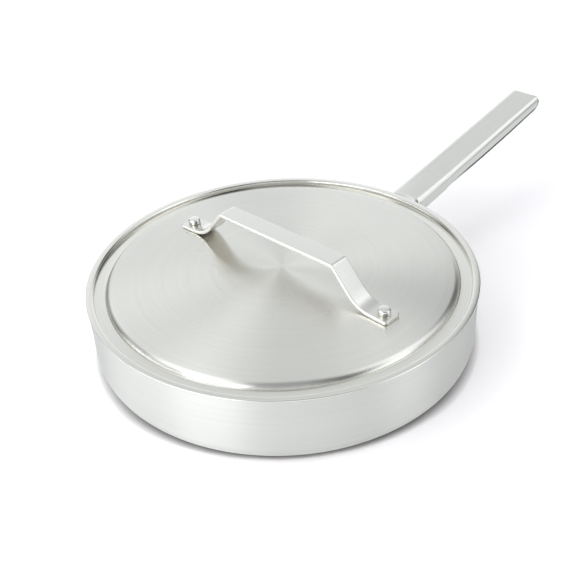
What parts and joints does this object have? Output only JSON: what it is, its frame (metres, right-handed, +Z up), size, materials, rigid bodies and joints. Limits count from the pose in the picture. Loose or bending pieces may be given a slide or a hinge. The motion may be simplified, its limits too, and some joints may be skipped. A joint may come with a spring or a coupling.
{
  "type": "frying pan with lid",
  "caption": "Straight-sided clad steel frying pan with a riveted channel handle and a stamped lift-off lid with a flat strap grip.",
  "frame": {"origin": "centre of the flat base, on the surface that the pan stands on", "axes": "+Z up along the pan's axis, +X along the long handle"},
  "size_m": [0.4626, 0.286, 0.0866],
  "materials": {
    "pan_steel": "satin, brushed around the wall",
    "core_aluminium": "plain rolled sheet, seen only at the rim",
    "liner_steel": "satin, brushed around the axis",
    "handle_steel": "satin, brushed lengthways",
    "lid_steel": "satin, brushed in circles",
    "strap_steel": "satin, brushed lengthways",
    "rivet_steel": "fine satin"
  },
  "bodies": {
    "pan": {"pan_outer_shell": "pan_steel", "pan_aluminium_core": "core_aluminium", "pan_inner_liner": "liner_steel", "pan_handle": "handle_steel", "handle_rivet_upper_left": "rivet_steel", "handle_rivet_upper_right": "rivet_steel", "handle_rivet_lower": "rivet_steel"},
    "lid": {"lid_cover": "lid_steel", "lid_strap": "strap_steel", "lid_rivet_left": "rivet_steel", "lid_rivet_right": "rivet_steel"}
  },
  "joints": [
    {"name": "lid_lift", "type": "slide", "parent": "pan", "child": "lid", "axis": [0, 0, 1], "range_m": [0, 0.12]}
  ]
}
